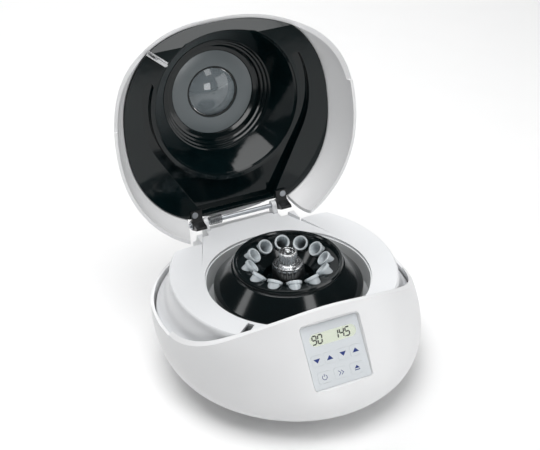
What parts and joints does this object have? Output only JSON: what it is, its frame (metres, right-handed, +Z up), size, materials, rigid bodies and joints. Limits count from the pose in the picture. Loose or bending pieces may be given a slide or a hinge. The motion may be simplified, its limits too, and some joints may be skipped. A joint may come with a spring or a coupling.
{
  "type": "mini centrifuge",
  "caption": "Egg-shaped mini centrifuge with a hinged lid open over a slanted-hole tube rotor, with a sloped key panel in front.",
  "frame": {"origin": "middle of the whole outline with the lid open, on the table under the feet", "axes": "+Z up, -Y towards the front with the key panel, +X to the right seen from the front"},
  "size_m": [0.226, 0.2874, 0.2574],
  "materials": {
    "white_plastic": "smooth white, semi-gloss",
    "white_inner": "smooth white, semi-gloss",
    "black_gloss": "glossy black",
    "rotor_black": "black anodised, glossy",
    "bright_steel": "turned and knurled",
    "plain_steel": "plain",
    "spring_steel": "drawn wire",
    "dark_metal": "black",
    "clear_plastic": "clear, polished",
    "tube_plastic": "translucent",
    "rubber_black": "matt",
    "film_blue": "satin film, light blue-grey",
    "display_glass": "clear over a reflective display",
    "display_grey": "reflective grey-green",
    "key_grey": "satin, light blue-grey",
    "board_green": "coated laminate",
    "black_matte": "fine grain",
    "copper_core": "lacquered",
    "aluminium_plain": "machined"
  },
  "bodies": {
    "base": {"base_shell": "white_plastic", "base_plate": "plain_steel", "rubber_feet": "rubber_black", "base_screws": "plain_steel", "housing_screws": "plain_steel", "top_housing": "white_inner", "rotor_bowl": "plain_steel", "shaft_seal": "rubber_black", "motor_can": "dark_metal", "motor_mount_plate": "aluminium_plain", "motor_stator": "copper_core", "shaft_bearings": "plain_steel", "motor_posts": "plain_steel", "motor_dampers": "rubber_black", "motor_screws": "plain_steel", "power_board": "board_green", "power_capacitors": "dark_metal", "power_transformer": "copper_core", "mains_inlet": "black_matte", "mains_switch": "black_matte", "keypad_film": "film_blue", "display_window": "display_glass", "display_module": "display_grey", "control_board": "board_green", "board_spacers": "black_matte", "key_switches": "black_matte", "latch_frame": "plain_steel", "latch_solenoid": "dark_metal", "lid_switch": "black_matte", "hinge_shaft": "plain_steel", "hinge_clips": "plain_steel", "hinge_spring": "spring_steel"},
    "spindle": {"motor_shaft": "plain_steel", "motor_magnet": "dark_metal", "drive_cone": "bright_steel", "rotor": "rotor_black", "rotor_nut": "bright_steel", "sample_tubes": "tube_plastic"},
    "lid": {"lid_shell": "white_plastic", "lid_liner": "black_gloss", "lid_window": "clear_plastic", "window_ring": "black_gloss", "striker": "bright_steel", "hinge_arm_left": "dark_metal", "hinge_arm_right": "dark_metal", "hinge_arm_screws": "plain_steel"},
    "key_time_down": {"key_time_down": "key_grey"},
    "key_time_up": {"key_time_up": "key_grey"},
    "key_speed_down": {"key_speed_down": "key_grey"},
    "key_speed_up": {"key_speed_up": "key_grey"},
    "key_start_stop": {"key_start_stop": "key_grey"},
    "key_short_run": {"key_short_run": "key_grey"},
    "key_open": {"key_open": "key_grey"},
    "latch_bolt": {"latch_bolt": "plain_steel"},
    "rocker": {"mains_rocker": "black_matte"}
  },
  "joints": [
    {"name": "lid_hinge", "type": "hinge", "parent": "base", "child": "lid", "pos_m": [0, 0.07798, 0.0844], "axis": [1, 0, 0], "range_deg": [0, 99.3]},
    {"name": "rotor_spin", "type": "hinge", "parent": "base", "child": "spindle", "pos_m": [0, -0.02762, 0.08], "axis": [0, 0, 1], "continuous": true},
    {"name": "key_time_down_press", "type": "slide", "parent": "base", "child": "key_time_down", "axis": [0, 0.8148, -0.5798], "range_m": [0, 0.0004], "stiffness_N_per_m": 1000},
    {"name": "key_time_up_press", "type": "slide", "parent": "base", "child": "key_time_up", "axis": [0, 0.8148, -0.5798], "range_m": [0, 0.0004], "stiffness_N_per_m": 1000},
    {"name": "key_speed_down_press", "type": "slide", "parent": "base", "child": "key_speed_down", "axis": [0, 0.8148, -0.5798], "range_m": [0, 0.0004], "stiffness_N_per_m": 1000},
    {"name": "key_speed_up_press", "type": "slide", "parent": "base", "child": "key_speed_up", "axis": [0, 0.8148, -0.5798], "range_m": [0, 0.0004], "stiffness_N_per_m": 1000},
    {"name": "key_start_stop_press", "type": "slide", "parent": "base", "child": "key_start_stop", "axis": [0, 0.8148, -0.5798], "range_m": [0, 0.0004], "stiffness_N_per_m": 1000},
    {"name": "key_short_run_press", "type": "slide", "parent": "base", "child": "key_short_run", "axis": [0, 0.8148, -0.5798], "range_m": [0, 0.0004], "stiffness_N_per_m": 1000},
    {"name": "key_open_press", "type": "slide", "parent": "base", "child": "key_open", "axis": [0, 0.8148, -0.5798], "range_m": [0, 0.0004], "stiffness_N_per_m": 1000},
    {"name": "latch_slide", "type": "slide", "parent": "base", "child": "latch_bolt", "axis": [0.6626, -0.749, 0], "range_m": [0, 0.006], "stiffness_N_per_m": 200},
    {"name": "mains_rocker_tilt", "type": "hinge", "parent": "base", "child": "rocker", "pos_m": [-0.021, 0.07738, 0.031], "axis": [1, 0, 0], "range_deg": [0, 16]}
  ]
}
